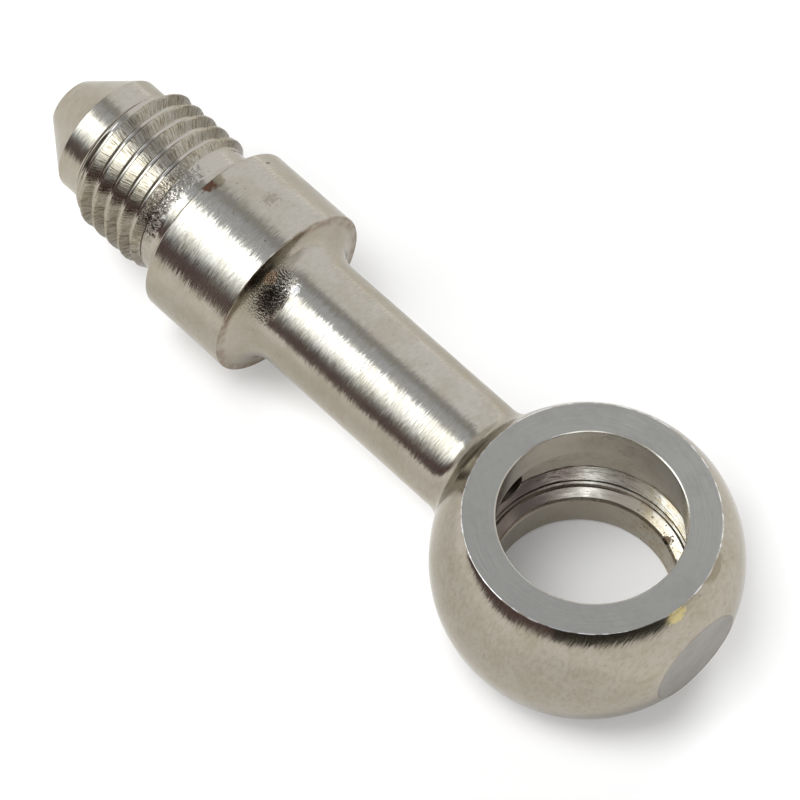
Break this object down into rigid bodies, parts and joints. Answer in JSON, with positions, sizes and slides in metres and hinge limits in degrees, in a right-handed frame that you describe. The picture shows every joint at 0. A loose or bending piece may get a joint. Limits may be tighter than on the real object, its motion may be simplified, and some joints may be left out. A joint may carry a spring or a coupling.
{
  "type": "banjo fitting",
  "caption": "Male banjo fitting: a ball-shaped eye for a hollow bolt on a plain neck, with a round collar, a male thread and a flare nose.",
  "frame": {"origin": "centre of the eye's bore, half-way between its two sealing faces", "axes": "+Z along the bore, out of one sealing face; +X along the tube, from the eye towards the nose cone"},
  "size_m": [0.05, 0.0174, 0.011],
  "materials": {
    "plated_steel": "nickel-like plate over fine turning marks, lightly stained, with one rust spot"
  },
  "bodies": {
    "root": {"banjo_fitting": "plated_steel"}
  },
  "joints": []
}
